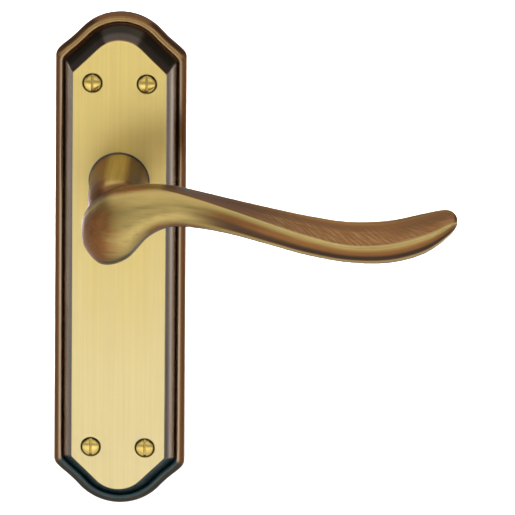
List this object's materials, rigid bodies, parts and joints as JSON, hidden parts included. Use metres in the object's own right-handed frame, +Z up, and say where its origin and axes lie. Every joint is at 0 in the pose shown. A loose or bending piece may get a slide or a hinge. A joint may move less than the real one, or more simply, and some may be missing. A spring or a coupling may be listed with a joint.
{
  "type": "lever handle lockset",
  "caption": "Lever door handle on a long moulded backplate, with a sprung cassette, square spindle and slotted fixing screws.",
  "frame": {"origin": "on the spindle axis, in the plane of the door face that the backplate rests on", "axes": "+Y out of the plate's back, into the door; +X along the lever at rest; +Z up the plate"},
  "size_m": [0.1427, 0.1351, 0.18],
  "materials": {
    "satin_brass": "lacquered satin brass, brushed along the plate, with a bronzed moulding",
    "polished_brass": "polished brass",
    "bronzed_brass": "bronzed satin brass, brushed along the lever, gold where it is worn",
    "plated_steel": "zinc plated",
    "dark_steel": "blackened",
    "spring_steel": "oiled spring steel",
    "nylon": "moulded black nylon",
    "buffer_rubber": "soft black rubber"
  },
  "bodies": {
    "plate": {"backplate": "satin_brass", "fixing_screws": "polished_brass", "neck_bush": "nylon", "neck_washer": "dark_steel", "spring_housing": "plated_steel", "housing_screws": "dark_steel", "cassette_cover": "plated_steel", "spring_anchor_pin": "dark_steel", "stop_pins": "dark_steel", "stop_buffers": "buffer_rubber", "wave_washer": "spring_steel", "return_spring": "spring_steel"},
    "handle": {"lever": "bronzed_brass", "drive_cam": "plated_steel", "thrust_washer": "plated_steel", "retaining_washer": "plated_steel", "circlip": "dark_steel", "spindle": "plated_steel", "grub_screw": "dark_steel"}
  },
  "joints": [
    {"name": "lever_turn", "type": "hinge", "parent": "plate", "child": "handle", "pos_m": [0, 0, 0], "axis": [0, 1, 0], "range_deg": [0, 45], "stiffness_Nm_per_rad": 0.8, "springref_deg": -28.65, "deforming": ["return_spring"]}
  ]
}
